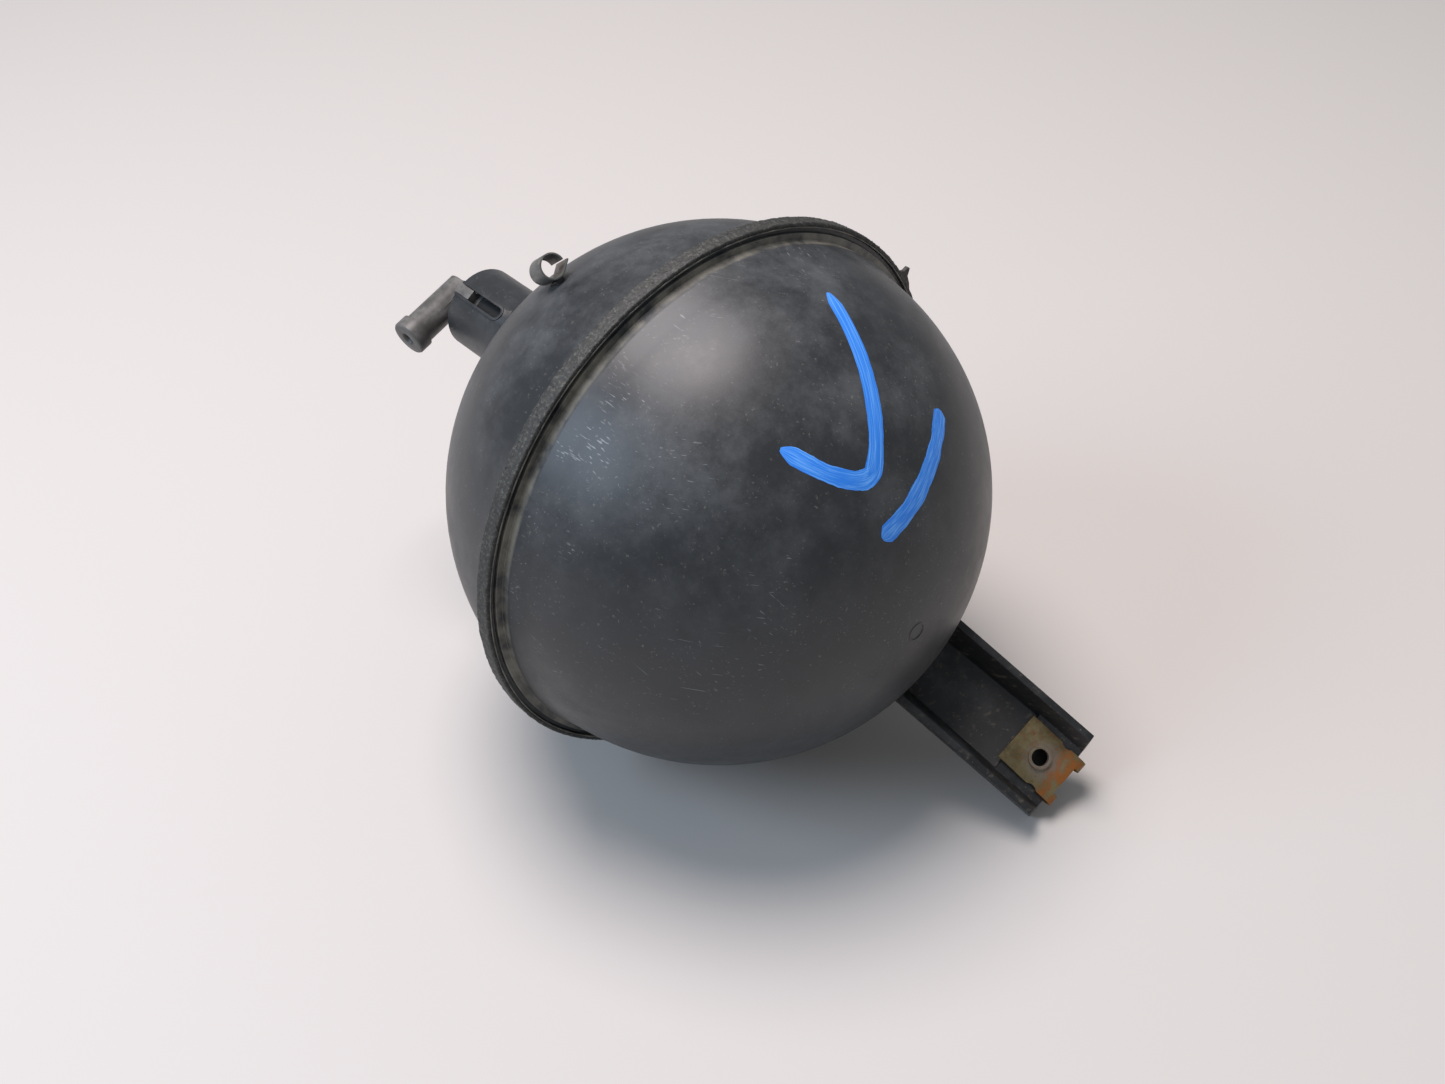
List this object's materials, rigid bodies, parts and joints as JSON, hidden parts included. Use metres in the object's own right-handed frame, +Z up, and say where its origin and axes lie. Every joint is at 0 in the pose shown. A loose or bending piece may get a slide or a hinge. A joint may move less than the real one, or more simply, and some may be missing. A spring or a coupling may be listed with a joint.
{
  "type": "spherical vacuum reservoir",
  "caption": "Hollow moulded ball of welded halves with a slotted collar holding an elbow check valve, a hose clip and a channel bracket arm with a clip-on nut.",
  "frame": {"origin": "on the ground under the middle of the bounding box; the ball's centre is 8.35 mm along +X and 80.6 mm up from it", "axes": "+Z up as the part lies on its weld rim and the tip of its arm; +X along the ball's polar axis towards the bracket side, -X towards the port collar; +Y to the side the arm leans to"},
  "size_m": [0.216, 0.1612, 0.1612],
  "materials": {
    "moulded_nylon": "satin black-grey filled nylon, dusty and scratched",
    "weld_flash": "rough, pitted weld flash of the same nylon",
    "valve_nylon": "satin grey-brown moulded nylon",
    "zinc_spring_steel": "yellow-passivated zinc on spring steel, dull and rust-stained",
    "grommet_rubber": "matt black rubber",
    "disc_rubber": "matt dark rubber",
    "spring_wire": "bright drawn wire",
    "clip_strip": "thin moulded strip, satin, brownish inside"
  },
  "bodies": {
    "reservoir": {"shell_bracket_side": "moulded_nylon", "shell_port_side": "moulded_nylon", "weld_bead_outer": "weld_flash", "weld_bead_inner": "weld_flash", "weld_flash_tag": "weld_flash", "bracket_arm": "moulded_nylon", "port_grommet": "grommet_rubber", "hose_clip": "clip_strip", "hose_clip_base": "moulded_nylon"},
    "elbow_valve": {"valve_body": "valve_nylon", "guide_plate": "valve_nylon", "valve_spring": "spring_wire", "elbow": "valve_nylon"},
    "check_disc": {"valve_disc": "disc_rubber"},
    "clip_nut": {"clip_nut": "zinc_spring_steel"}
  },
  "joints": [
    {"name": "elbow_pull", "type": "slide", "parent": "reservoir", "child": "elbow_valve", "axis": [-1, 0, 0], "range_m": [0, 0.031]},
    {"name": "disc_lift", "type": "slide", "parent": "elbow_valve", "child": "check_disc", "axis": [-1, 0, 0], "range_m": [0, 0.0012], "stiffness_N_per_m": 50, "springref_m": -0.001, "deforming": ["valve_spring"]},
    {"name": "nut_slide", "type": "slide", "parent": "reservoir", "child": "clip_nut", "axis": [0.8231, 0.2736, -0.4976], "range_m": [0, 0.009]}
  ]
}
